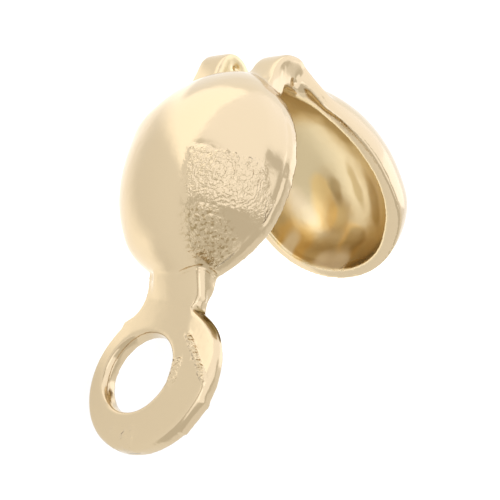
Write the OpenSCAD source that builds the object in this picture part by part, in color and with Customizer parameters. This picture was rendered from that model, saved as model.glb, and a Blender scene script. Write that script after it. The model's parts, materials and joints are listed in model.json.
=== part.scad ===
// Clamshell bead tip: two deep cups on arched straps, one of them drawn out into a neck and a ring.
// It is stamped and formed from one piece of sheet brass, so it is one solid, and it stands open.
//
// Each leg is drawn flat: x runs along the leg from the hinge, y across it, and z out of its back,
// so z = 0 is the plane in which the two cups' lips meet when the finding is closed.
// The legs are then stood on the hinge line, and the whole finding is laid on its side to rest.

/* [Cups] */
// Width of a cup over its lip
cup_w = 4.0; // [3.96:0.02:4.4]
// Length of a cup from its middle to its hinge end
cup_hinge_len = 2.84; // [2.4:0.02:3.2]
// Length of a cup from its middle to its far end
cup_end_len = 2.32; // [2.2:0.02:2.4]
// Distance from the hinge to the middle of a cup
cup_mid = 3.24; // [3.1:0.02:3.3]
// How much further down its leg the far cup stands
far_cup_shift = 0.1; // [0:0.02:0.12]
// Radius of a cup's blunt point at the hinge end
cup_hinge_r = 1.1; // [0.8:0.05:1.3]
// Radius of a cup's round far end
cup_end_r = 1.94; // [1.8:0.02:1.96]
// Thickness of a cup's drawn wall
cup_wall = 0.26; // [0.15:0.01:0.4]

/* [Sheet] */
// Thickness of the flat sheet in the neck and ring
sheet_t = 0.35; // [0.25:0.01:0.45]

/* [Ring] */
// Outer diameter of the ring
ring_d = 3.18; // [3:0.02:3.3]
// Diameter of the ring's hole
hole_d = 1.7; // [1.4:0.02:1.9]
// Distance from the hinge to the middle of the ring
ring_mid = 7.62; // [7.5:0.02:7.9]
// How far the ring stands to the side of the leg's middle line
ring_side = 0.36; // [0:0.02:0.4]
// How far the hole sits further to that side of the ring
hole_side = 0.3; // [0:0.02:0.34]
// How far the hole sits towards the hinge from the ring's middle
hole_back = 0.08; // [0:0.01:0.15]
// Width of the rolled edge on the ring's outer face
roll_w = 0.12; // [0.05:0.01:0.2]
// Depth of the rolled edge
roll_h = 0.1; // [0.05:0.01:0.2]
// Width of the flat where the ring was cut from its strip
flat_w = 0.76; // [0.6:0.02:1]
// Direction of that flat from the ring's middle, from the leg's end towards the near side
flat_turn = 54; // [40:1:60]

/* [Neck] */
// Width of the neck at its narrowest
neck_w = 1.55; // [1.2:0.05:1.8]
// How far the neck stands to the side of the leg's middle line
neck_side = 0.19; // [0:0.01:0.25]
// Radius of the hollow on the neck's far side
neck_hollow_r = 0.55; // [0.5:0.01:0.6]

/* [Hinge straps] */
// Angle between the two cups' lips
open_angle = 58; // [55:1:60]
// How far the far cup is twisted in its own plane
far_twist = 5.7; // [0:0.1:8]
// Width of a strap
strap_w = 0.76; // [0.5:0.01:0.8]
// Distance from the middle line to the middle of each strap
strap_side = 0.79; // [0.75:0.01:0.85]
// Outer radius of the near strap's bend
near_bend_r = 0.65; // [0.63:0.01:0.66]
// Thickness of the near strap
near_strap_t = 0.48; // [0.4:0.01:0.5]
// Outer radius of the far strap's bend
far_bend_r = 0.47; // [0.44:0.01:0.48]
// Thickness of the far strap
far_strap_t = 0.33; // [0.26:0.01:0.35]
// Radius of the channel left inside each bend, which is folded tight
fold_r = 0.07; // [0.04:0.01:0.1]
// How far the two halves of a folded strap touch, down from the bend
fold_len = 0.3; // [0.2:0.02:0.5]
// Tilt of the straps, up towards the far side
strap_tilt = 9; // [0:1:12]
// Lean of the straps' feet towards the far cup's wall
far_lean = 12; // [8:1:12]

/* [Hidden] */
$fn = 96;
brass = [0.93, 0.84, 0.66];
// Overlap that joins or cuts cleanly
bite = 0.2;
// Size of the blocks that halve round bodies
block = 20;
// Middles of the two bends, as [towards the far cup, up] from the hinge line
near_bend = [0.45, -0.41];
far_bend = [0.145, 0.03];
// Places of the channels in them, from those middles
near_fold = [0, 0.04];
far_fold = [-0.05, 0.14];
// Lean of the near strap's foot towards the near cup's wall
near_lean = 14;
// How far the cups' hollows are kept clear in front of their lips
lip_clear = 0.45;
// Depth down each leg at which a strap's foot is inside the cup's wall
strap_foot = 1.4;
// Reach of the neck's blank into the cup and into the ring, beyond its own ends
neck_reach = 0.3;
// How far the neck widens on its far side, at the cup and at the ring
neck_flare = [0.12, 0.45];
// Turns that lay the finding on its side, and the place of the hinge over the floor
lay_turn = [-96.5, 3.2, 90];
lay_place = [-4.37, -1.564, 1.639];

// Radius of the long arc that is tangent to the cup's side and to the arc of radius end_r at its end
function side_r(half_len, half_w, end_r) =
    (pow(half_len - end_r, 2) + pow(half_w, 2) - pow(end_r, 2)) / (2 * (half_w - end_r));

// Half of a cup's outline, from its widest place to one end, set in by the thickness inset:
// x is the radius from the leg's middle line and y runs along the leg to the end
module half_outline(half_len, half_w, end_r, inset) {
    long_r = side_r(half_len, half_w, end_r);
    joint_y = (half_len - end_r) * (1 + end_r / (long_r - end_r));
    intersection() {
        translate([half_w - long_r, 0]) circle(r = long_r - inset);
        square([half_w, joint_y]);
    }
    intersection() {
        translate([0, half_len - end_r]) circle(r = end_r - inset);
        translate([0, joint_y]) square([half_w, half_len]);
    }
}

// A cup's round body, of which the outer half is kept
module cup_body(inset) {
    translate([cup_mid, 0, 0]) rotate([0, 90, 0]) rotate_extrude() {
        half_outline(cup_end_len, cup_w / 2, cup_end_r, inset);
        mirror([0, 1]) half_outline(cup_hinge_len, cup_w / 2, cup_hinge_r, inset);
    }
}

module cup_outside() {
    intersection() {
        cup_body(0);
        translate([0, -block / 2, 0]) cube(block);
    }
}

module cup_hollow() {
    intersection() {
        cup_body(cup_wall);
        translate([0, -block / 2, -lip_clear]) cube(block);
    }
}

// Neck: straight on its near side, and hollow on its far side between the cup and the ring
module neck() {
    start = cup_mid + cup_end_len - neck_reach;
    end = ring_mid - ring_d / 2 + neck_reach;
    waist = (cup_mid + cup_end_len + ring_mid - ring_d / 2) / 2;
    near_y = neck_w / 2 - neck_side;
    far_y = -neck_w / 2 - neck_side;
    linear_extrude(height = sheet_t) difference() {
        polygon([
            [start, near_y], [ring_mid, near_y], [ring_mid, far_y], [end, far_y - neck_flare[1]],
            [waist, far_y - neck_flare[1]], [waist, far_y - neck_flare[0]], [start, far_y - neck_flare[0]]
        ]);
        translate([waist, far_y - neck_hollow_r]) circle(r = neck_hollow_r);
    }
}

module ring() {
    translate([ring_mid, -ring_side, 0]) {
        rotate_extrude() polygon([
            [0, 0], [ring_d / 2, 0], [ring_d / 2, sheet_t - roll_h],
            [ring_d / 2 - roll_w, sheet_t], [0, sheet_t]
        ]);
        rotate([0, 0, flat_turn]) translate([0, -flat_w / 2, 0]) cube([ring_d / 2, flat_w, sheet_t - roll_h]);
    }
}

module ring_hole() {
    translate([ring_mid - hole_back, -ring_side - hole_side, -bite])
        cylinder(d = hole_d, h = sheet_t + 2 * bite);
}

function turned(p, a) = [p[0] * cos(a) - p[1] * sin(a), p[0] * sin(a) + p[1] * cos(a)];

// One strap, seen along the hinge: a strip folded tight between the feet that run down the two legs
module strap(bend, bend_r, strap_t, fold, lean, side) {
    inner = bend_r - strap_t;
    far_angle = open_angle + far_lean;
    far_foot = strap_foot - bend * [sin(open_angle), -cos(open_angle)];
    middle = (far_angle + 180 - lean) / 2;
    translate([0, side * strap_side, 0]) rotate([90 + strap_tilt, 0, 0])
        linear_extrude(height = strap_w, center = true) translate(bend) difference() {
            union() {
                intersection() {
                    circle(r = bend_r);
                    polygon([[0, 0], for (a = [far_angle, middle, 180 - lean]) 3 * bend_r * [cos(a), sin(a)]]);
                }
                rotate(-lean) translate([-bend_r, -strap_foot - bend[1]]) square([strap_t, strap_foot + bend[1]]);
                rotate(far_angle - 90) translate([0, inner]) square([far_foot, strap_t]);
                polygon([
                    [0, 0], turned([-inner, 0], -lean), turned([-inner, -fold_len], -lean),
                    turned([fold_len, inner], far_angle - 90), turned([0, inner], far_angle - 90)
                ]);
            }
            translate(fold) circle(r = fold_r);
        }
}

module near_leg() rotate([180, 90, 0]) children();

module far_leg() rotate([0, 90 - open_angle, 0]) rotate([0, 0, -far_twist]) children();

module bead_tip() {
    color(brass) translate(lay_place) rotate(lay_turn) difference() {
        union() {
            near_leg() {
                cup_outside();
                neck();
                ring();
            }
            far_leg() translate([far_cup_shift, 0, 0]) cup_outside();
            strap(near_bend, near_bend_r, near_strap_t, near_fold, near_lean, -1);
            strap(far_bend, far_bend_r, far_strap_t, far_fold, 0, 1);
        }
        near_leg() {
            cup_hollow();
            ring_hole();
        }
        far_leg() translate([far_cup_shift, 0, 0]) cup_hollow();
    }
}

bead_tip();
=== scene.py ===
"""Clamshell bead tip: two cups and a ring formed from one piece of sheet brass, plated pale gold.

The finding lies open on a white table, as it would by itself. Each leg is modelled flat in
millimetres, as it is stamped: x runs along the leg from the hinge, y across it and z out of its
back. The legs are then stood on the hinge line, fused, worked over and laid down.
"""
import json
import math
import bmesh
import bpy
from bpy.props import FloatProperty, FloatVectorProperty, StringProperty
from mathutils import Euler, Matrix, Vector, noise

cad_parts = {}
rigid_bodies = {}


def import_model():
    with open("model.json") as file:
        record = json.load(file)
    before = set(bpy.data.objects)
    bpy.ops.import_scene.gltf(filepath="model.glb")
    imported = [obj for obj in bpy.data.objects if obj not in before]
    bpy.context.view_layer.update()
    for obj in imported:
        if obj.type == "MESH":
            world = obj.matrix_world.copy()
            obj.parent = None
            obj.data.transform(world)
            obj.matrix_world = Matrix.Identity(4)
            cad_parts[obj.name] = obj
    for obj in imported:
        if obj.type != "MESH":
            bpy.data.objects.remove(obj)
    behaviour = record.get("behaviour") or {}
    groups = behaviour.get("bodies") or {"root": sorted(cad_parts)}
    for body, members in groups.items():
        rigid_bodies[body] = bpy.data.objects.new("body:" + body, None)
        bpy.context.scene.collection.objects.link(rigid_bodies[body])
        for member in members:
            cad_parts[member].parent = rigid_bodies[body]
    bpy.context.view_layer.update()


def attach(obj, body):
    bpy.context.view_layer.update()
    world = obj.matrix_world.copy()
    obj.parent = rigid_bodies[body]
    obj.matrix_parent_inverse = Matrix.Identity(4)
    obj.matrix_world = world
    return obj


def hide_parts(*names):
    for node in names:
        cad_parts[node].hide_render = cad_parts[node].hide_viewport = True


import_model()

bl_info = {
    "name": "Clamshell bead tip",
    "version": (1, 0, 0),
    "blender": (4, 5, 0),
    "location": "3D View > Sidebar > Bead tip",
    "description": "Builds a plated clamshell bead tip on a small studio table",
    "category": "Object",
}

MM = 0.001

# Where each leg stands on the hinge, and how the open finding lies, as in the part's source
OPEN_ANGLE = math.radians(58)
FAR_TWIST = math.radians(5.7)
NEAR_LEG = Matrix.Rotation(math.radians(90), 4, "Y") @ Matrix.Rotation(math.pi, 4, "X")
FAR_LEG = Matrix.Rotation(math.pi / 2 - OPEN_ANGLE, 4, "Y") @ Matrix.Rotation(-FAR_TWIST, 4, "Z")
LAY_TURN = Euler([math.radians(a) for a in (-96.5, 3.2, 90)], "XYZ")
LAY = Matrix.Translation((-4.37, -1.564, 1.639)) @ LAY_TURN.to_matrix().to_4x4()

# Bulges that forming left along the lips: side, place from the widest point, spread and amount
NEAR_BULGES = ((-1, -1.4, 0.75, 0.1), (-1, -1.0, 0.4, 0.075), (-1, 1.75, 0.3, 0.09), (1, 2.0, 0.4, -0.2))
FAR_BULGES = ((-1, 1.2, 0.6, 0.07),)
# Stretches, given alike, where the far cup's lip is thicker on its inside
FAR_FOLDS = ((-1, -0.6, 1.0, 0.05), (-1, 1.3, 0.7, 0.16))

# Middle of the ring on its leg, and how far the hole sits from it, towards the hinge and to its side
RING_MIDDLE = (7.62, -0.36)
HOLE_SHIFT = (-0.08, -0.3)
# How far the neck stands to the side, how far it flares on that side at the cup and at the ring,
# and the radius of the hollow between them
NECK_SIDE = 0.19
NECK_CUP_FLARE = 0.12
NECK_RING_FLARE = 0.45
NECK_HOLLOW = 0.55
# The drawn-out foot of the dome: its start, length, middle line and half width on the leg
GUSSET_START = 5.31
GUSSET_LENGTH = 0.84
GUSSET_MIDDLE = -0.185
GUSSET_HALF = 0.765
GUSSET_KNEE = 5.51

# The straps: name, side, middle of the bend, its outer radius, thickness, lean of the foot on the
# ringed leg in degrees, and middle of the channel in the fold; places are (to the open cup, up)
STRAPS = (("near", -0.79, (0.45, -0.41), 0.67, 0.5, 14, (0.45, -0.37)),
          ("far", 0.79, (0.145, 0.03), 0.5, 0.36, 0, (0.095, 0.17)))
STRAP_TILT = math.radians(9)
STRAP_FOOT = 1.5
STRAP_FLARE = 0.2
FAR_FOOT_ANGLE = OPEN_ANGLE + math.radians(12)
CHANNEL_RADIUS = 0.07
CHANNEL_DEPTH = 0.36

# Facing above which a place is on a cup's outside
OUTSIDE = 0.3
# Lowest height on a leg that still belongs to it
LEG_FLOOR = -0.02


def srgb(code):
    """Linear colour from an sRGB hex code."""
    parts = [int(code[i:i + 2], 16) / 255 for i in (1, 3, 5)]
    return [c / 12.92 if c <= 0.04045 else ((c + 0.055) / 1.055) ** 2.4 for c in parts]


# Shapes

def deselect():
    """Leave edit mode and select nothing."""
    if bpy.context.object and bpy.context.object.mode != "OBJECT":
        bpy.ops.object.mode_set(mode="OBJECT")
    bpy.ops.object.select_all(action="DESELECT")


def pick(objs):
    """Select these objects alone, the last one active."""
    deselect()
    for obj in objs:
        obj.select_set(True)
    bpy.context.view_layer.objects.active = objs[-1]


def finish_modifier(obj, kind, **settings):
    """Add a modifier with its settings and apply it."""
    pick([obj])
    mod = obj.modifiers.new(kind.title(), kind)
    for key, value in settings.items():
        setattr(mod, key, value)
    bpy.ops.object.modifier_apply(modifier=mod.name)


def ramp(value, low, high):
    """0 below low, 1 above high, and a smooth rise between them."""
    t = min(1.0, max(0.0, (value - low) / (high - low)))
    return t * t * (3 - 2 * t)


def band(value, low, low_end, high_start, high):
    """1 between low_end and high_start, 0 below low and above high, and smooth between."""
    return ramp(value, low, low_end) * (1 - ramp(value, high_start, high))


def edit_all(obj):
    """Enter edit mode with all of an object's mesh selected."""
    pick([obj])
    bpy.ops.object.mode_set(mode="EDIT")
    bpy.ops.mesh.select_all(action="SELECT")


def face_outwards(obj):
    """Turn all faces of a closed or cup-shaped mesh outwards."""
    edit_all(obj)
    bpy.ops.mesh.normals_make_consistent(inside=False)
    bpy.ops.object.mode_set(mode="OBJECT")


def extrude_all(obj, height):
    """Make a flat blank solid by extruding all of it."""
    edit_all(obj)
    bpy.ops.mesh.extrude_region_move(TRANSFORM_OT_translate={"value": (0, 0, height)})
    face_outwards(obj)


def named(obj, name):
    """Name a new object."""
    obj.name = name
    return obj


def grid(name, columns, rows):
    """Flat grid from -1 to 1 both ways, whose points are then moved to their places."""
    deselect()
    bpy.ops.mesh.primitive_grid_add(x_subdivisions=columns, y_subdivisions=rows, size=2)
    return named(bpy.context.object, name)


def plate(name, outline, thick):
    """Flat blank: the grid's columns are moved out to the outline's two sides, then extruded."""
    obj = grid(name, len(outline) - 1, 4)
    for vert in obj.data.vertices:
        place = (vert.co.x + 1) / 2 * (len(outline) - 1)
        x, low, high = outline[min(len(outline) - 1, round(place))]
        vert.co = (x, low + (high - low) * (vert.co.y + 1) / 2, 0)
    extrude_all(obj, thick)
    return obj


def stand(obj, leg):
    """Put a flat-modelled piece on its leg, its place in its mesh."""
    obj.data.transform(leg)
    obj.data.update()


def join(objs, name):
    """Join objects into one, which takes the name."""
    pick(objs)
    bpy.ops.object.join()
    obj = bpy.context.object
    obj.name = obj.data.name = name
    return obj


def cut(obj, cutter):
    """Cut one object's shape out of another."""
    pick([obj])
    mod = obj.modifiers.new("Cut", "BOOLEAN")
    mod.operation, mod.solver, mod.object = "DIFFERENCE", "EXACT", cutter
    bpy.ops.object.modifier_apply(modifier=mod.name)


def drop(*objs):
    """Delete objects that have served."""
    for obj in objs:
        bpy.data.objects.remove(obj, do_unlink=True)


def side_outline(u, half_len, half_w, end_r):
    """Distance of a cup's lip from the middle line, u along from its widest place to one end."""
    long_r = ((half_len - end_r) ** 2 + half_w ** 2 - end_r ** 2) / (2 * (half_w - end_r))
    joint = (half_len - end_r) * (1 + end_r / (long_r - end_r))
    if u <= joint:
        return half_w - long_r + math.sqrt(max(long_r ** 2 - u ** 2, 0))
    return math.sqrt(max(end_r ** 2 - (u - half_len + end_r) ** 2, 0))


def cup_body(name, sizes, inset=0.0, below=0.0, skirt=0.0, step=0.0, bulges=()):
    """Half of a drawn cup from a sphere, its poles at the hinge end and the far end.

    inset makes the space inside instead, below carries it past the lip, skirt is the height
    of a straight lip over which the dome steps in, and bulges are as in NEAR_BULGES."""
    deselect()
    bpy.ops.mesh.primitive_uv_sphere_add(segments=144, ring_count=120, radius=1,
                                         rotation=(0, math.pi / 2, 0))
    obj = named(bpy.context.object, name)
    bpy.ops.object.transform_apply(location=False, rotation=True, scale=False)
    edit_all(obj)
    bpy.ops.mesh.bisect(plane_co=(0, 0, 0), plane_no=(0, 0, 1), clear_inner=True, use_fill=False)
    bpy.ops.object.mode_set(mode="OBJECT")
    half_w = sizes.cup_width / 2 - inset
    for vert in obj.data.vertices:
        x, y, z = vert.co
        end, end_r = ((sizes.cup_hinge_length, sizes.hinge_radius) if x < 0
                      else (sizes.cup_end_length, sizes.end_radius))
        end, end_r = end - inset, end_r - inset
        u = end * min(1.0, abs(x))
        radius = side_outline(u, end, half_w, end_r)
        turn = math.atan2(z, y)
        bulge = sum(amount * math.exp(-((math.copysign(u, x) - at) / spread) ** 2)
                    * max(0.0, side * math.cos(turn)) ** 1.5 for side, at, spread, amount in bulges)
        radius += bulge * min(1.0, radius / half_w)
        rise = skirt * min(1.0, radius / (0.5 * half_w)) if z > 0.001 else 0
        inner = radius - step * min(1.0, radius / half_w) * min(1.0, 6 * abs(math.sin(turn)))
        vert.co = (sizes.cup_middle + math.copysign(u, x), inner * math.cos(turn),
                   rise + (inner - rise) * math.sin(turn))
    if below:
        edit_all(obj)
        bpy.ops.mesh.select_all(action="DESELECT")
        bpy.ops.mesh.select_non_manifold()
        bpy.ops.mesh.extrude_region_move(TRANSFORM_OT_translate={"value": (0, 0, -below)})
        bpy.ops.mesh.edge_face_add()
        face_outwards(obj)
    return obj


def cup_shell(name, sizes, skirt, step, bulges, folds=()):
    """A drawn cup's wall, with bulges and folds as in NEAR_BULGES and FAR_FOLDS."""
    cup = cup_body(name, sizes, skirt=skirt, step=step, bulges=bulges)
    outside = len(cup.data.vertices)
    face_outwards(cup)
    finish_modifier(cup, "SOLIDIFY", thickness=sizes.cup_wall, offset=-1, use_even_offset=True)
    for vert in cup.data.vertices[outside:]:
        x, y, z = vert.co
        radius = max(0.01, math.hypot(y, z))
        amount = sum(amount * math.exp(-((x - sizes.cup_middle - at) / spread) ** 2)
                     * max(0.0, side * y / radius) for side, at, spread, amount in folds)
        vert.co.y -= math.copysign(min(abs(y), amount * (1 - ramp(z, 0.05, 0.45))), y)
    return cup


# Sizes and finishes that a user may change

class BeadTipSizes(bpy.types.PropertyGroup):
    """Sizes of the finding, in millimetres."""
    cup_width: FloatProperty(name="Cup width", description="Width of a cup over its lip", default=4.0)
    cup_hinge_length: FloatProperty(
        name="Length to the hinge", description="From a cup's widest place to its hinge end", default=2.84)
    cup_end_length: FloatProperty(
        name="Length to the end", description="From a cup's widest place to its far end", default=2.32)
    cup_middle: FloatProperty(
        name="Cup middle", description="From the hinge line to a cup's widest place", default=3.24)
    far_cup_shift: FloatProperty(
        name="Far cup shift", description="How much further down its leg the far cup stands", default=0.1)
    hinge_radius: FloatProperty(
        name="Hinge end radius", description="Radius of a cup's blunt point at the hinge", default=1.1)
    end_radius: FloatProperty(
        name="Far end radius", description="Radius of a cup's round far end", default=1.94)
    cup_wall: FloatProperty(name="Cup wall", description="Thickness of a drawn cup", default=0.26)
    sheet: FloatProperty(name="Sheet", description="Thickness of the flat sheet", default=0.35)
    ring_width: FloatProperty(name="Ring", description="Outer diameter of the ring", default=3.18)
    ring_middle: FloatProperty(
        name="Ring middle", description="From the hinge line to the ring's middle",
        default=RING_MIDDLE[0])
    ring_side: FloatProperty(
        name="Ring offset", description="How far the ring stands to the side", default=-RING_MIDDLE[1])
    hole_width: FloatProperty(name="Hole", description="Diameter of the ring's hole", default=1.7)
    neck_width: FloatProperty(name="Neck", description="Width of the neck at its narrowest", default=1.55)
    strap_width: FloatProperty(name="Strap", description="Width of a hinge strap", default=0.82)
    grain_step: FloatProperty(
        name="Mesh step", description="Edge length of the worked metal's mesh", default=0.036)


class BeadTipFinish(bpy.types.PropertyGroup):
    """Colours of the plating and of the table."""
    plate_colour: StringProperty(
        name="Plating", description="Pale gold plating, as an sRGB hex code", default="#CFBC9B")
    # Painted light: a brighter gold inside the cups, standing in for the light that bounces within them
    inside_light_colour: StringProperty(
        name="Plating inside", description="Richer plating inside the cups", default="#E2D0A8")
    # Painted reflection: warm orange places inside the open cup
    warm_reflection_colour: StringProperty(
        name="Orange plating", description="Thick plating inside the open cup", default="#F0D294")
    # Painted shade: brown places inside the open cup, darkest towards the hinge
    inside_shade_colour: StringProperty(
        name="Brown plating", description="Tarnished plating inside the open cup", default="#C2AB7E")
    # Painted highlight: pale places inside the open cup
    inside_highlight_colour: StringProperty(
        name="Pale plating", description="Thin plating inside the open cup", default="#F6E4BE")
    # Painted shade: dark specks in the pits
    pit_shade_colour: StringProperty(
        name="Tarnish", description="Tarnish in the pits, as an sRGB hex code", default="#AF9A74")
    # Painted shade: a dark crescent on the ring's torn rim, beside the neck
    rim_shade_colour: StringProperty(
        name="Soot", description="Soot on the ring's torn rim, as an sRGB hex code", default="#7E6A3C")
    floor_colour: StringProperty(name="Table", description="Paint of the table", default="#BCBCBA")


class BeadTipStudio(bpy.types.PropertyGroup):
    """The camera."""
    camera_place: FloatVectorProperty(
        name="Camera", description="Place of the camera, in millimetres", size=3, subtype="XYZ",
        default=(9.929, -17.658, 20.483))
    camera_turn: FloatVectorProperty(
        name="Camera turn", description="Turn of the camera, in degrees", size=3, subtype="XYZ",
        default=(5.226, -47.629, 114.252))
    lens: FloatProperty(
        name="Lens", description="Focal length on a 36 mm sensor", unit="CAMERA", default=90.97)
    lens_shift: FloatVectorProperty(
        name="Lens shift", description="Shift that puts the finding in its place in the picture", size=2,
        default=(0.0016, -0.0234))


# Pieces

class BEADTIP_OT_cups(bpy.types.Operator):
    """Draw the two cups, each a thin shell with a bare lip"""
    bl_idname = "beadtip.cups"
    bl_label = "Cups"

    def execute(self, context):
        sizes = context.scene.beadtip_sizes
        near = cup_shell("near_cup", sizes, skirt=0.3, step=0.03, bulges=NEAR_BULGES)
        far = cup_shell("far_cup", sizes, skirt=0.1, step=0.0, bulges=FAR_BULGES, folds=FAR_FOLDS)
        stand(near, NEAR_LEG)
        stand(far, FAR_LEG @ Matrix.Translation((sizes.far_cup_shift, 0, 0)))
        return {"FINISHED"}


class BEADTIP_OT_ring(bpy.types.Operator):
    """Stamp the neck and the ring, and make the punch and the worn edge of the ring's hole"""
    bl_idname = "beadtip.ring"
    bl_label = "Neck and ring"

    def neck(self, sizes):
        """Neck, narrow between the cup and the ring, its near side bevelled by the blanking tool."""
        ring_start = sizes.ring_middle - sizes.ring_width / 2
        cup_end = sizes.cup_middle + sizes.cup_end_length
        waist = (cup_end + ring_start) / 2
        start, stop = cup_end - 0.22, sizes.ring_middle - 0.2
        columns = 40
        outline = []
        for i in range(columns + 1):
            x = start + (stop - start) * i / columns
            near_side = sizes.neck_width / 2 - NECK_SIDE - 0.09 * ramp(x, 5.75, 6.05)
            far_side = -sizes.neck_width / 2 - NECK_SIDE
            hollow = min(1.0, abs(x - waist) / NECK_HOLLOW)
            if x > waist:
                far_side -= NECK_RING_FLARE * (1 - math.sqrt(1 - hollow ** 2))
            else:
                far_side -= NECK_CUP_FLARE * hollow ** 2
            outline.append((x, max(far_side, -1.42), near_side))
        neck = plate("neck", outline, sizes.sheet)
        bevel_start, bevel_foot = 0.4, 0.25
        for vert in neck.data.vertices:
            if vert.co.z > 0.1 and vert.co.y > bevel_start:
                vert.co.z = bevel_foot
            elif vert.co.z > 0.1 and vert.co.y > 0:
                vert.co.y = bevel_start
        return neck

    def gusset(self, sizes):
        """Foot of the dome drawn out into the neck, steep at first and then in a slow slope."""
        gusset = grid("gusset", 28, 30)
        for vert in gusset.data.vertices:
            x = GUSSET_START + GUSSET_LENGTH * (vert.co.x + 1) / 2
            y = GUSSET_MIDDLE + GUSSET_HALF * vert.co.y
            height = 0.97 - 1.76 * (x - 5.3) if x < GUSSET_KNEE else 0.6 - 0.42 * (x - GUSSET_KNEE)
            height = (height - sizes.sheet) * ramp(y, -0.95, -0.65)
            vert.co = (x - 0.28 * y * y, y, sizes.sheet - 0.01 + max(0.0, height))
        extrude_all(gusset, -0.2)
        return gusset

    def ring(self, sizes):
        """Disc of the ring, the rim of its outer face rolled."""
        deselect()
        bpy.ops.mesh.primitive_cylinder_add(
            vertices=160, radius=sizes.ring_width / 2, depth=sizes.sheet,
            location=(sizes.ring_middle, -sizes.ring_side, sizes.sheet / 2))
        ring = named(bpy.context.object, "ring")
        bpy.ops.object.transform_apply()
        edit_all(ring)
        bpy.ops.mesh.select_all(action="DESELECT")
        rim = bmesh.from_edit_mesh(ring.data)
        for edge in rim.edges:
            edge.select_set(all(v.co.z > sizes.sheet * 0.9 for v in edge.verts))
        rim.select_flush_mode()
        bmesh.update_edit_mesh(ring.data)
        bpy.ops.mesh.bevel(offset=0.12, segments=4, affect="EDGES")
        bpy.ops.object.mode_set(mode="OBJECT")
        return ring

    def ring_flat(self, sizes):
        """Flat where the ring was cut from its strip."""
        width, height, turn = 0.76, 0.25, math.radians(54)
        deselect()
        bpy.ops.mesh.primitive_cube_add(size=1)
        flat = named(bpy.context.object, "ring_flat")
        flat.data.transform(
            Matrix.Translation((sizes.ring_middle, -sizes.ring_side, 0)) @ Matrix.Rotation(turn, 4, "Z")
            @ Matrix.Translation((sizes.ring_width / 4, 0, height / 2))
            @ Matrix.Diagonal((sizes.ring_width / 2, width, height, 1)))
        return flat

    def punch(self, sizes):
        """Punch of the hole, hollowed where a burr stands into the hole on its upper side."""
        deselect()
        bpy.ops.mesh.primitive_cylinder_add(
            vertices=128, radius=sizes.hole_width / 2, depth=2,
            location=(sizes.ring_middle + HOLE_SHIFT[0], -sizes.ring_side + HOLE_SHIFT[1], 0))
        punch = named(bpy.context.object, "punch")
        for vert in punch.data.vertices:
            turn = math.degrees(math.atan2(vert.co.y, vert.co.x))
            burr = band(turn, 64, 76, 98, 101)
            burr *= 0.13 + 0.05 * noise.noise(Vector((turn / 5, 0, 0)))
            vert.co.xy *= 1 - burr / (sizes.hole_width / 2)
        bpy.ops.object.transform_apply()
        return punch

    def worn_edge(self, sizes):
        """Cone that takes off the hole's outer edge, most on its far side."""
        deselect()
        bpy.ops.mesh.primitive_cone_add(
            vertices=128, radius1=sizes.hole_width / 2 - 0.03, radius2=sizes.hole_width / 2 + 0.06,
            depth=0.14, location=(sizes.ring_middle + HOLE_SHIFT[0],
                                  -sizes.ring_side + HOLE_SHIFT[1] - 0.03, sizes.sheet - 0.05))
        tone_with_painted_light = named(bpy.context.object, "worn_edge")
        bpy.ops.object.transform_apply()
        return tone_with_painted_light

    def execute(self, context):
        for make in (self.neck, self.gusset, self.ring, self.ring_flat, self.punch, self.worn_edge):
            stand(make(context.scene.beadtip_sizes), NEAR_LEG)
        return {"FINISHED"}


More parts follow.
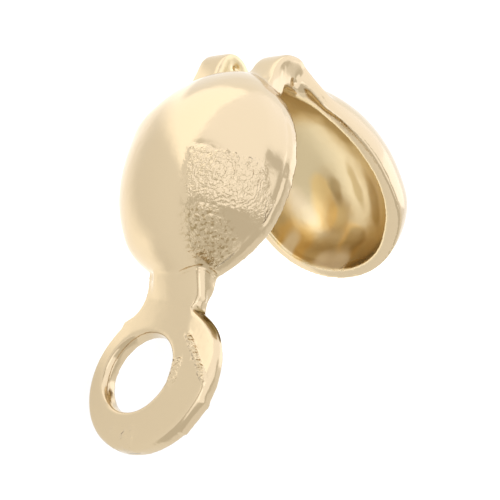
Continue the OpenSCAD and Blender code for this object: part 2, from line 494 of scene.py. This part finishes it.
class BEADTIP_OT_straps(bpy.types.Operator):
    """Bend the two hinge straps and trim their feet inside the cups"""
    bl_idname = "beadtip.straps"
    bl_label = "Hinge straps"

    def tilt(self, side):
        """Move and tilt a strap from the middle line to its side."""
        return Matrix.Translation((0, side, 0)) @ Matrix.Rotation(STRAP_TILT, 4, "X")

    def strap(self, name, side, bend, bend_r, thick, lean, width):
        """A strip moved onto the path down one leg, round a tight fold and down the other."""
        mid_r = bend_r - thick / 2
        first, last = math.radians(180 - lean), FAR_FOOT_ANGLE
        foot_steps, bend_steps = 12, 32
        path = []
        for i in range(foot_steps + 1):
            s = STRAP_FOOT * (1 - i / foot_steps)
            path.append((bend[0] + mid_r * math.cos(first) - s * math.sin(math.radians(lean)),
                         bend[1] + mid_r * math.sin(first) - s * math.cos(math.radians(lean)), s))
        for i in range(1, bend_steps):
            a = first + (last - first) * i / bend_steps
            path.append((bend[0] + mid_r * math.cos(a), bend[1] + mid_r * math.sin(a), 0))
        for i in range(foot_steps + 1):
            s = STRAP_FOOT * i / foot_steps
            path.append((bend[0] + mid_r * math.cos(last) + s * math.sin(last),
                         bend[1] + mid_r * math.sin(last) - s * math.cos(last), s))
        obj = grid(name, len(path) - 1, 6)
        for vert in obj.data.vertices:
            x, z, s = path[round((vert.co.x + 1) / 2 * (len(path) - 1))]
            # Its outer edge spreads where it runs into each cup
            outer = max(0.0, vert.co.y * math.copysign(1, side))
            spread = STRAP_FLARE * min(1.0, s / 1.1) ** 1.5 * outer
            vert.co = (x, vert.co.y * width / 2 + math.copysign(spread, side), z)
        obj.data.transform(self.tilt(side))
        finish_modifier(obj, "SOLIDIFY", thickness=thick - 0.01, offset=0, use_even_offset=True)
        return obj

    def web(self, name, side, bend, inner, near_lean, width):
        """Wedge between the strip's two halves, where the fold has closed."""
        lean, last = math.radians(near_lean), FAR_FOOT_ANGLE
        near_deep, far_deep = 0.35, 0.5
        reach, deep_in = 1.8 * inner, inner + 0.05
        corners = {(-1, 1): (-reach * math.cos(lean), reach * math.sin(lean)),
                   (1, 1): (reach * math.cos(last), reach * math.sin(last)),
                   (-1, -1): (-deep_in * math.cos(lean) - near_deep * math.sin(lean),
                              deep_in * math.sin(lean) - near_deep * math.cos(lean)),
                   (1, -1): (deep_in * math.cos(last) + far_deep * math.sin(last),
                             deep_in * math.sin(last) - far_deep * math.cos(last))}
        deselect()
        bpy.ops.mesh.primitive_cube_add(size=2)
        obj = named(bpy.context.object, name)
        for vert in obj.data.vertices:
            x, z = corners[(round(vert.co.x), round(vert.co.z))]
            vert.co = (bend[0] + x, vert.co.y * width / 2, bend[1] + z)
        obj.data.transform(self.tilt(side))
        return obj

    def channel(self, name, side, place):
        """Cutter for the small channel that the fold leaves, seen at the strap's end."""
        deselect()
        bpy.ops.mesh.primitive_cylinder_add(
            vertices=32, radius=CHANNEL_RADIUS, depth=CHANNEL_DEPTH, rotation=(math.pi / 2, 0, 0))
        obj = named(bpy.context.object, name)
        bpy.ops.object.transform_apply()
        obj.data.transform(self.tilt(side) @ Matrix.Translation((place[0], -0.38, place[1])))

    def execute(self, context):
        sizes = context.scene.beadtip_sizes
        # The near strap spreads into a shoulder along the open cup's lip
        shoulder = plate("far_shoulder", [(0.75, -1.2, -0.75), (1.0, -1.3, -0.75), (1.25, -1.39, -0.75),
                                          (1.5, -1.43, -0.85), (1.7, -1.5, -1.0)], 0.42)
        stand(shoulder, FAR_LEG)
        pieces = [shoulder]
        for name, side, bend, bend_r, thick, lean, channel in STRAPS:
            pieces.append(self.strap(name + "_strap", side, bend, bend_r, thick, lean, sizes.strap_width))
            pieces.append(self.web(name + "_web", side, bend, bend_r - thick, lean, sizes.strap_width))
            self.channel(name + "_channel", side, channel)
        hollows = [cup_body(name, sizes, inset=0.2, below=0.45) for name in ("near_hollow", "far_hollow")]
        for hollow, leg in zip(hollows, (NEAR_LEG, FAR_LEG)):
            stand(hollow, leg)
            for piece in pieces:
                cut(piece, hollow)
        drop(*hollows)
        return {"FINISHED"}


# Marks of forming

# Line of the crease on the ring's back, as (along, across) its leg
CREASE = ((6.19, 0.4), (6.42, 0.38), (6.8, 0.42), (7.19, 0.66), (7.56, 0.92), (7.91, 1.09), (8.1, 1.15))
# Middle of the marks round the ring's hole
HOLE_MARKS = (7.54, -0.64)
# Middles of the dent in the pressed face and of the pits
DENT = (3.94, 1.24)
PITS = (4.96, 0.9)

# Places inside the open cup with painted light and shade: kind, x and y along and across the leg, spreads
PAINTED_LIGHT_MARKS = (
    ("warm_reflection", 3.75, 0.8, 0.55, 0.28), ("warm_reflection", 4.35, 0.82, 0.3, 0.22), ("warm_reflection", 4.4, 1.55, 0.5, 0.2),
    ("warm_reflection", 4.95, 0.3, 0.32, 0.4), ("warm_reflection", 4.6, 1.4, 0.3, 0.25), ("inside_shade", 3.85, 0.5, 0.45, 0.14),
    ("inside_shade", 4.3, -0.45, 0.8, 0.17), ("inside_shade", 1.2, 0.0, 0.75, 1.2), ("inside_shade", 2.3, -0.5, 0.7, 0.35),
    ("inside_shade", 4.95, 0.2, 0.22, 0.35), ("inside_shade", 3.9, -0.05, 0.6, 0.12), ("pale", 4.45, 1.5, 0.3, 0.14),
    ("pale", 5.13, 0.95, 0.22, 0.35), ("pale", 5.3, 0.5, 0.16, 0.3), ("pale", 3.65, 1.32, 0.36, 0.2))
PAINTED_LIGHT_KINDS = ("warm_reflection", "inside_shade", "pale")


def grain(place, *shift):
    """Noise from -1 to 1 at a place, in a field of its own that the shift picks."""
    return noise.noise(place + Vector(shift or (0, 0, 0)))


def crease(x):
    """Line across the leg, at x along it, past which the tab's back falls off to its upper edge."""
    for (x0, y0), (x1, y1) in zip(CREASE, CREASE[1:]):
        if x0 <= x <= x1:
            return y0 + (y1 - y0) * (x - x0) / (x1 - x0)
    return CREASE[0][1] if x < CREASE[0][0] else 9.0


def around(near, middle):
    """Turn, in degrees, and distance of a place on the ringed leg round a middle."""
    x, y = near.x - middle[0], near.y - middle[1]
    return math.degrees(math.atan2(y, x)), math.hypot(x, y)


def shear(near):
    """1 where the blanking tool has torn a slope at the ring's rim, next to the neck, else less."""
    turn, reach = around(near, RING_MIDDLE)
    inner = 1.55 - 0.03 * math.sin(math.radians(4.5 * (turn - 113)))
    return band(turn, 113, 126, 147, 153) * band(reach, inner - 0.04, inner + 0.03, 1.63, 1.66)


def fall(near):
    """How far the ring's back is pushed down at a place on the ringed leg, by the blanking tool."""
    reach = around(near, RING_MIDDLE)[1]
    if near.x < 6.0 or near.z < 0.05 or reach > 1.63:
        return 0.0
    slope = 0.26 * max(0.0, near.y - crease(near.x) + 0.02)
    return (slope + 0.8 * shear(near) * max(0.0, reach - 1.48)) * min(1.0, near.z / 0.35)


def pressed_face(p, x, y, ragged):
    """Wrinkled face, with a ragged upper limit, that the closing tool has pressed into the dome."""
    face = band(x + ragged, 3.42, 3.5, 4.45, 4.6) * ramp(y + 0.7 * ragged, 0.62, 0.8)
    face *= 1 - ramp(y, 1.82, 1.92)
    dent = 0.022 * math.exp(-((x - DENT[0]) ** 2 + (y - DENT[1]) ** 2) / 0.02)
    return face, face * 0.014 * grain(p * 6.6, 1, 5, 8) + dent


def grip_pits(p, x, y, ragged):
    """Pits low on the dome, where it was gripped."""
    away = math.hypot((x - PITS[0]) / 0.46, (y - PITS[1] + 0.4 * (x - PITS[0])) / 0.42)
    pitted = 1 - ramp(away + 2.5 * ragged, 0.6, 1.15)
    return pitted, -pitted * 0.02 * max(0.0, grain(p * 11, 4, 4, 2) - 0.05)


def foot_crease(x, y, ragged):
    """Fine crease where the dome's foot folds into the neck."""
    off_line = abs(x - 5.56 + 0.17 * y + 0.1 * ragged)
    return -0.03 * (1 - ramp(off_line, 0.01, 0.045)) * band(y, -0.15, 0.1, 0.6, 0.75)


def lip_band(p, x, y, z):
    """Band that the draw ring left along the lip's upper side, and the lip's ragged trimmed edge."""
    wave = 0.05 * grain(Vector((x * 2.5, 3, 0))) + 0.02 * grain(Vector((x * 9, 1, 0)))
    raised = 0.025 * (1 - ramp(z + wave, 0.2, 0.32)) * ramp(y, 0.5, 1.0) * ramp(x, 1.2, 2.4)
    return raised + 0.01 * (1 - ramp(z, 0.05, 0.12)) * grain(p * 5.5, 0, 2, 6)


def blanking_marks(p, near, ragged):
    """Torn metal that the blanking tool left along the crease, beside the hole and at the end."""
    off_line = abs(near.y - crease(near.x) + 0.3 * ragged)
    along = (1 - ramp(off_line, 0.04, 0.11)) * band(near.x, 6.75, 6.95, 7.8, 8.0)
    turn, reach = around(near, HOLE_MARKS)
    burr = band(turn, 60, 72, 99, 103) * (1 - ramp(reach + ragged, 1.0, 1.1))
    end = ramp(reach, 1.1, 1.25) * band(turn, -22, -12, 8, 20) * ramp(ragged, -0.02, 0.02)
    torn = max(along, burr, 0.7 * end)
    return torn, torn * 0.012 * grain(p * 9, 5, 1, 3)


def relief(p, near, facing):
    """Height of the tool marks and grain at a place, in millimetres, outward positive.

    p is on the standing finding, near is the same place on the ringed leg, and facing is 1 on a
    cup's outside and -1 on its inside. The other two values are how torn and how pitted the
    surface is."""
    # Orange peel that drawing leaves on a dome: waves about 0.45 mm and 0.15 mm long
    height = 0.004 * grain(p * 2.2) + 0.0012 * grain(p * 6.5, 7, 3, 1)
    x, y, z = near
    torn = pitted = 0.0
    if z < -0.05:
        return height, torn, pitted
    ragged = 0.1 * grain(p * 3.5, 2, 9, 4)
    if 2.6 < x < 5.5 and y > -0.2 and z > 0.3 and facing > OUTSIDE:
        torn, pressed = pressed_face(p, x, y, ragged)
        pitted, sunk = grip_pits(p, x, y, ragged)
        height += pressed + sunk
    if 5.3 < x < 5.8 and z > 0.1:
        height += foot_crease(x, y, ragged)
    if y > 0 and x < 5.5 and facing > OUTSIDE:
        height += lip_band(p, x, y, z)
    if x > 6.6 and z > 0.15:
        torn, raised = blanking_marks(p, near, ragged)
        height += raised
    return height, torn, pitted


def plating(kind, p, far):
    """How much one of the painted kinds (orange reflection, brown shade, pale highlight) shows at a place of
    the open cup's inside, 0 to 1.
    """
    amount = sum(math.exp(-((far.x - at) / long) ** 2 - ((far.y - side) / wide) ** 2)
                 for name, at, side, long, wide in PAINTED_LIGHT_MARKS if name == kind)
    return ramp(amount + 0.35 * grain(p * 2.4, 6, 2, 7), 0.25, 0.8)


def soften(obj, name, rounds, where):
    """Smooth an object's surface where the function where gives 1."""
    group = obj.vertex_groups.new(name=name)
    for vert in obj.data.vertices:
        weight = where(vert.co)
        if weight > 0.01:
            group.add([vert.index], weight, "REPLACE")
    finish_modifier(obj, "SMOOTH", factor=0.5, iterations=rounds, vertex_group=name)


# Edge lengths of the voxel meshes that join first the tab and then the whole finding
TAB_STEP = 0.02
JOIN_STEP = 0.03
# Rounds of smoothing for all of it, for the hinge, beside the neck and for the far cup's lip
ALL_ROUNDS = 4
HINGE_ROUNDS = 80
NECK_ROUNDS = 90
LIP_ROUNDS = 6
# Share of the worked mesh that is kept
KEPT_SHARE = 0.62
# How far down its leg the inside of a cup reaches
CUP_REACH = 5.7


class BEADTIP_OT_fuse(bpy.types.Operator):
    """Fuse the blanks into one sheet, soften its edges and give it the marks of forming"""
    bl_idname = "beadtip.fuse"
    bl_label = "Fuse and finish"

    def fuse(self, sizes):
        """Join the blanks and cups into one closed mesh, with the hole and the channels cut."""
        objs = bpy.data.objects
        tab = join([objs[n] for n in ("neck", "ring_flat", "ring")], "tab")
        finish_modifier(tab, "REMESH", mode="VOXEL", voxel_size=TAB_STEP)
        cut(tab, objs["punch"])
        cut(tab, objs["worn_edge"])
        parts = ("gusset", "near_strap", "near_web", "far_strap", "far_web", "far_shoulder",
                 "far_cup", "near_cup")
        blank = join([tab] + [objs[n] for n in parts], "bead_tip_metal")
        finish_modifier(blank, "REMESH", mode="VOXEL", voxel_size=JOIN_STEP)
        cut(blank, objs["near_channel"])
        cut(blank, objs["far_channel"])
        drop(*(objs[n] for n in ("punch", "worn_edge", "near_channel", "far_channel")))
        finish_modifier(blank, "REMESH", mode="VOXEL", voxel_size=sizes.grain_step)
        finish_modifier(blank, "SMOOTH", factor=0.5, iterations=ALL_ROUNDS)
        return blank

    def soften_forms(self, blank, to_near, to_far):
        """Round the hinge, the side of the drawn-out foot and the far cup's lip."""
        # Each of these gives 1 where the surface is smoothed, and 0 elsewhere
        def hinge(place):
            return ramp(place.z, -0.85, -0.55)

        def neck_side(place):
            x, y, z = to_near @ place
            return band(x, 5.35, 5.5, 6.0, 6.15) * band(y, 0.2, 0.35, 0.75, 0.9) * ramp(z, 0.15, 0.25)

        def far_lip(place):
            along = to_far @ place
            return (1 - ramp(abs(along.z), 0.15, 0.3)) * ramp(along.x, 1.2, 1.8) * ramp(place.x, 0.3, 0.6)

        soften(blank, "hinge", HINGE_ROUNDS, hinge)
        soften(blank, "neck_side", NECK_ROUNDS, neck_side)
        soften(blank, "far_lip", LIP_ROUNDS, far_lip)

    def work_over(self, mesh, to_near, to_far):
        """Move the surface by its tool marks and note for the plating what each place is like and where light
        and shade are painted on it.
        """
        kinds = ("wear", "pits", "inside", "rim_shade") + PAINTED_LIGHT_KINDS
        for kind in kinds:
            mesh.attributes.new(kind, "FLOAT", "POINT")
        wear, pits, inside, rim_shade, *tones = (mesh.attributes[kind].data for kind in kinds)
        down = NEAR_LEG.to_3x3() @ Vector((0, 0, -1))
        shifts = []
        for i, vert in enumerate(mesh.vertices):
            near, far = to_near @ vert.co, to_far @ vert.co
            leg, turn = (near, to_near) if near.z > LEG_FLOOR else (far, to_far)
            out = Vector((0, leg.y, leg.z))
            facing = (turn.to_3x3() @ vert.normal).dot(out.normalized())
            height, wear[i].value, pits[i].value = relief(vert.co, near, facing)
            sheltered = ramp(-facing, 0.0, 0.3) if leg.z > LEG_FLOOR and leg.x < CUP_REACH else 0.0
            # The inside of the cups: made satin, and painted a brighter gold for the light bouncing within
            # them
            inside[i].value = sheltered
            # Where shade is painted on the ring's torn rim, beside the neck
            rim_shade[i].value = shear(near) if LEG_FLOOR < near.z < 0.4 and near.x > 6 else 0.0
            # Where light and shade are painted inside the open cup: orange reflections, brown shade and pale
            # highlights
            for kind, tone in zip(PAINTED_LIGHT_KINDS, tones):
                tone[i].value = sheltered * plating(kind, vert.co, far) if leg is far else 0.0
            # The drawing punch left the inside in broad waves, about 0.7 mm long
            height += sheltered * 0.012 * grain(vert.co * 1.4, 3, 8, 1)
            shifts.append(vert.normal * height + down * fall(near))
        for vert, shift in zip(mesh.vertices, shifts):
            vert.co += shift

    def execute(self, context):
        sizes = context.scene.beadtip_sizes
        blank = self.fuse(sizes)
        to_near = NEAR_LEG.inverted()
        to_far = (FAR_LEG @ Matrix.Translation((sizes.far_cup_shift, 0, 0))).inverted()
        self.soften_forms(blank, to_near, to_far)
        self.work_over(blank.data, to_near, to_far)
        stand(blank, Matrix.Diagonal((MM, MM, MM, 1)) @ LAY)
        finish_modifier(blank, "DECIMATE", ratio=KEPT_SHARE)
        bpy.ops.object.shade_smooth()
        blank.data.materials.clear()
        blank.data.materials.append(gold_plate(context.scene.beadtip_finish))
        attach(blank, "root")
        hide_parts("bead_tip")
        return {"FINISHED"}


# Finishes

# Sockets of a Mix node of colours: the first colour, the second and the result
MIX_FIRST, MIX_SECOND, MIX_RESULT = 6, 7, 2


def node(tree, kind, sockets=(), **settings):
    """Add a node with its settings; sockets are (socket, value) or (socket, node, its output)."""
    new = tree.nodes.new(kind)
    for key, value in settings.items():
        if key in new.inputs:
            new.inputs[key].default_value = value
        else:
            setattr(new, key, value)
    for socket, source, *output in sockets:
        if output:
            tree.links.new(source.outputs[output[0]], new.inputs[socket])
        else:
            new.inputs[socket].default_value = source
    return new


def new_material(name):
    """Material with an empty node tree."""
    mat = bpy.data.materials.new(name)
    mat.use_nodes = True
    mat.node_tree.nodes.clear()
    return mat


def plating_colour(tree, place, finish):
    """Colour of the plating, with painted light: brighter inside the cups, painted reflections, shade and
    highlights inside the open cup, and painted shade in the pits and on the ring's torn rim.
    """
    # Painted light: the sheltered inside of a cup gets a brighter gold than the outside, standing in for the
    # light that bounces within it
    inside = node(tree, "ShaderNodeAttribute", attribute_name="inside")
    tone = node(tree, "ShaderNodeMix",
                [("Factor", inside, "Fac"), (MIX_FIRST, (*srgb(finish.plate_colour), 1)),
                 (MIX_SECOND, (*srgb(finish.inside_light_colour), 1))], data_type="RGBA")
    # Painted shade: dark specks, about 0.07 mm across, darken the pits
    speck = node(tree, "ShaderNodeTexNoise", [("Vector", place, "Object")], Scale=14 / MM, Detail=2.0)
    speck_here = node(tree, "ShaderNodeMapRange",
                      [("Value", speck, "Fac"), ("From Min", 0.52), ("From Max", 0.64)])
    pits = node(tree, "ShaderNodeAttribute", attribute_name="pits")
    pit_shade = node(tree, "ShaderNodeMath", [(0, speck_here, "Result"), (1, pits, "Fac")],
                   operation="MULTIPLY")
    tone_with_painted_light = node(tree, "ShaderNodeMix",
                [("Factor", pit_shade, "Value"), (MIX_FIRST, tone, MIX_RESULT),
                 (MIX_SECOND, (*srgb(finish.pit_shade_colour), 1))], data_type="RGBA")
    # Painted light and shade: orange reflections, brown shade and pale highlights inside the open cup, and
    # painted shade on the ring's torn rim
    for kind, code in (("warm_reflection", finish.warm_reflection_colour), ("inside_shade", finish.inside_shade_colour),
                       ("pale", finish.inside_highlight_colour), ("rim_shade", finish.rim_shade_colour)):
        mark = node(tree, "ShaderNodeAttribute", attribute_name=kind)
        tone_with_painted_light = node(tree, "ShaderNodeMix",
                    [("Factor", mark, "Fac"), (MIX_FIRST, tone_with_painted_light, MIX_RESULT),
                     (MIX_SECOND, (*srgb(code), 1))], data_type="RGBA")
    return tone_with_painted_light


def plating_bumps(tree, place):
    """Bumps too fine for the mesh: orange peel all over, and torn metal where tools pressed."""
    # Orange peel of the drawn metal: grains about 0.15 mm across
    peel = node(tree, "ShaderNodeTexNoise", [("Vector", place, "Object")], Scale=6.5 / MM, Detail=1.0)
    peel_bump = node(tree, "ShaderNodeBump", [("Height", peel, "Fac")], Strength=1.0, Distance=0.002 * MM)
    # Where a tool pressed it the surface is torn in ridges about 0.13 mm apart, round the dent
    dent = node(tree, "ShaderNodeVectorMath",
                [(0, place, "Object"), (1, (-0.6 * MM, -2.97 * MM, 3.4 * MM))], operation="SUBTRACT")
    ridges = node(tree, "ShaderNodeTexWave", [("Vector", dent, "Vector"), ("Detail Scale", 1.6)],
                  wave_type="RINGS", rings_direction="SPHERICAL", Scale=2.4 / MM, Distortion=16.0, Detail=3.0)
    grit = node(tree, "ShaderNodeTexNoise", [("Vector", place, "Object")], Scale=9 / MM, Detail=3.0)
    wear = node(tree, "ShaderNodeAttribute", attribute_name="wear")
    pits = node(tree, "ShaderNodeAttribute", attribute_name="pits")
    worn_ridges = node(tree, "ShaderNodeMath", [(0, ridges, "Fac"), (1, wear, "Fac")], operation="MULTIPLY")
    torn = node(tree, "ShaderNodeMath", [(0, worn_ridges, "Value"), (1, 0.25), (2, grit, "Fac")],
                operation="MULTIPLY_ADD")
    rough = node(tree, "ShaderNodeMath", [(0, wear, "Fac"), (1, pits, "Fac")], operation="MAXIMUM")
    torn_here = node(tree, "ShaderNodeMath", [(0, torn, "Value"), (1, rough, "Value")], operation="MULTIPLY")
    return node(tree, "ShaderNodeBump", [("Height", torn_here, "Value"), ("Normal", peel_bump, "Normal")],
                Strength=1.0, Distance=0.045 * MM)


def gold_plate(finish):
    """Pale gold flash plated over stamped brass: mirror-like, but softened by orange peel."""
    mat = new_material("gold_plated_brass")
    tree = mat.node_tree
    place = node(tree, "ShaderNodeTexCoord")
    colour = plating_colour(tree, place, finish)
    bumps = plating_bumps(tree, place)
    # The pale places, painted highlights, are also a dull film
    pale = node(tree, "ShaderNodeAttribute", attribute_name="pale")
    film = node(tree, "ShaderNodeMapRange", [("Value", pale, "Fac"), ("To Min", 1.0), ("To Max", 0.5)])
    # The bath leaves the inside satin, where the outside was barrel polished
    inside = node(tree, "ShaderNodeAttribute", attribute_name="inside")
    satin = node(tree, "ShaderNodeMapRange", [("Value", inside, "Fac"), ("To Min", 0.16), ("To Max", 0.3)])
    coat = node(tree, "ShaderNodeBsdfPrincipled",
                [("Base Color", colour, MIX_RESULT), ("Metallic", film, "Result"),
                 ("Roughness", satin, "Result"), ("Normal", bumps, "Normal")])
    node(tree, "ShaderNodeOutputMaterial", [("Surface", coat, "BSDF")])
    return mat


# Glow of the table, painted light: it is strongest below and behind the finding, to fill its shadow
# and light its reflections; just beyond the hinge a dimmer patch is painted shade for what the straps
# reflect.
# Its fades: name, axis, start and end in millimetres, and the value at the end
GLOW_FADES = (
    ("behind", "Y", -4.4, -3, 1.0), ("open_side", "Y", 0, -1, 1.0), ("ring_side", "X", 1.5, 0.5, 1.0),
    ("far_off", "X", 3.2, 2, 1.0), ("beside", "X", -2.5, -4.5, 1.3), ("dim_patch_end", "X", -4.4, -5.1, 1.1),
    ("dim_patch_side", "Y", -4.3, -3.7, 1.0))
# How they are put together: name, what is done, and with which two
GLOW_STEPS = (
    ("under", "MAXIMUM", "open_side", "ring_side"), ("lit", "MULTIPLY", "behind", "under"),
    ("lit_here", "MULTIPLY", "lit", "far_off"), ("lamp_or_painted_glow", "MAXIMUM", "lit_here", "beside"),
    ("dim_patch", "MULTIPLY", "dim_patch_end", "dim_patch_side"), ("left_over", "SUBTRACT", "lamp_or_painted_glow", "dim_patch"))
GLOW_PATCH_STRENGTH = 0.46
LEAST_GLOW = 0.52


def table_paint(finish):
    """White table with a painted glow of its own, soft and everywhere, that keeps shadows pale."""
    mat = new_material("table_with_painted_glow")
    tree = mat.node_tree
    place = node(tree, "ShaderNodeTexCoord")
    split = node(tree, "ShaderNodeSeparateXYZ", [("Vector", place, "Object")])
    parts = {}
    for name, axis, start, end, last in GLOW_FADES:
        parts[name] = node(tree, "ShaderNodeMapRange",
                           [("Value", split, axis), ("From Min", start * MM), ("From Max", end * MM),
                            ("To Max", last)], interpolation_type="SMOOTHSTEP")
    for name, operation, first, second in GLOW_STEPS:
        parts[name] = node(tree, "ShaderNodeMath", [(0, parts[first], 0), (1, parts[second], 0)],
                           operation=operation)
    glow = node(tree, "ShaderNodeMath",
                [(0, parts["left_over"], 0), (1, GLOW_PATCH_STRENGTH), (2, LEAST_GLOW)], operation="MULTIPLY_ADD")
    paint = node(tree, "ShaderNodeBsdfPrincipled",
                 [("Base Color", (*srgb(finish.floor_colour), 1)), ("Emission Color", (1, 1, 1, 1)),
                  ("Emission Strength", glow, "Value")], Roughness=0.9)
    node(tree, "ShaderNodeOutputMaterial", [("Surface", paint, "BSDF")])
    return mat


# Daylight softboxes: name, place in millimetres, turn in degrees, size in millimetres, brightness
SOFTBOXES = (
    ("wall_light", (-112, -90, 91.3), (90, 0, -90), (220, 180.6), 0.67),
    ("wall_light_low", (-112, 110, 60), (90, 0, -90), (180, 118), 0.69),
    ("overhead_light", (-14, -18, 120), (0, 0, 0), (120, 156), 0.64),
    ("overhead_front_light", (23, -288, 120), (0, 0, 0), (194, 384), 0.58),
    ("front_light", (2.6, -75.4, 65.6), (49, 0, 2), (42, 42), 0.45),
    ("side_light", (0, 140, 75), (-90, 0, 0), (330, 148), 0.27))
DAYLIGHT = (0.96, 1.0, 1.18)
ROOM_LIGHT = (1, 0.98, 0.94, 1)
ROOM_STRENGTH = 0.84
TABLE_SIZE = 1.2


class BEADTIP_OT_stage(bpy.types.Operator):
    """Set the white table, the soft light and the camera"""
    bl_idname = "beadtip.stage"
    bl_label = "Table, light and camera"

    def softbox(self, name, place, turn, size, level):
        """Add one softbox, given as in SOFTBOXES."""
        data = bpy.data.lights.new(name, "AREA")
        data.shape = "RECTANGLE"
        data.size, data.size_y = (side * MM for side in size)
        # An area light of power W has a radiance of W / (pi * area) on its face
        data.energy = level * math.pi * data.size * data.size_y
        data.color = DAYLIGHT
        lamp_or_painted_glow = bpy.data.objects.new(name, data)
        lamp_or_painted_glow.location = [v * MM for v in place]
        lamp_or_painted_glow.rotation_euler = [math.radians(a) for a in turn]
        bpy.context.scene.collection.objects.link(lamp_or_painted_glow)

    def camera(self, context):
        """Place the camera as the photographer's stood."""
        studio = context.scene.beadtip_studio
        data = bpy.data.cameras.new("camera")
        data.sensor_width = 36
        data.lens = studio.lens
        data.shift_x, data.shift_y = studio.lens_shift
        data.clip_start, data.clip_end = 0.001, 10
        camera = bpy.data.objects.new("camera", data)
        camera.location = [v * MM for v in studio.camera_place]
        camera.rotation_euler = [math.radians(a) for a in studio.camera_turn]
        context.scene.collection.objects.link(camera)
        context.scene.camera = camera

    def execute(self, context):
        deselect()
        bpy.ops.mesh.primitive_plane_add(size=TABLE_SIZE, location=(0, 0, 0))
        table = named(context.object, "table")
        table.data.materials.append(table_paint(context.scene.beadtip_finish))
        world = bpy.data.worlds.new("studio")
        context.scene.world = world
        world.use_nodes = True
        background = world.node_tree.nodes["Background"]
        background.inputs["Color"].default_value = ROOM_LIGHT
        background.inputs["Strength"].default_value = ROOM_STRENGTH
        for box in SOFTBOXES:
            self.softbox(*box)
        self.camera(context)
        context.scene.view_settings.view_transform = "Standard"
        return {"FINISHED"}


class BEADTIP_PT_panel(bpy.types.Panel):
    """Builds the finding piece by piece"""
    bl_label = "Bead tip"
    bl_space_type = "VIEW_3D"
    bl_region_type = "UI"
    bl_category = "Bead tip"

    def draw(self, context):
        for op in (BEADTIP_OT_cups, BEADTIP_OT_ring, BEADTIP_OT_straps, BEADTIP_OT_fuse, BEADTIP_OT_stage):
            self.layout.operator(op.bl_idname)


CLASSES = (BeadTipSizes, BeadTipFinish, BeadTipStudio, BEADTIP_OT_cups, BEADTIP_OT_ring,
           BEADTIP_OT_straps, BEADTIP_OT_fuse, BEADTIP_OT_stage, BEADTIP_PT_panel)


def register():
    for cls in CLASSES:
        bpy.utils.register_class(cls)
    bpy.types.Scene.beadtip_sizes = bpy.props.PointerProperty(type=BeadTipSizes)
    bpy.types.Scene.beadtip_finish = bpy.props.PointerProperty(type=BeadTipFinish)
    bpy.types.Scene.beadtip_studio = bpy.props.PointerProperty(type=BeadTipStudio)


def unregister():
    del bpy.types.Scene.beadtip_studio
    del bpy.types.Scene.beadtip_finish
    del bpy.types.Scene.beadtip_sizes
    for cls in reversed(CLASSES):
        bpy.utils.unregister_class(cls)


def main():
    register()
    bpy.ops.beadtip.cups()
    bpy.ops.beadtip.ring()
    bpy.ops.beadtip.straps()
    bpy.ops.beadtip.fuse()
    bpy.ops.beadtip.stage()


if __name__ == "__main__":
    main()
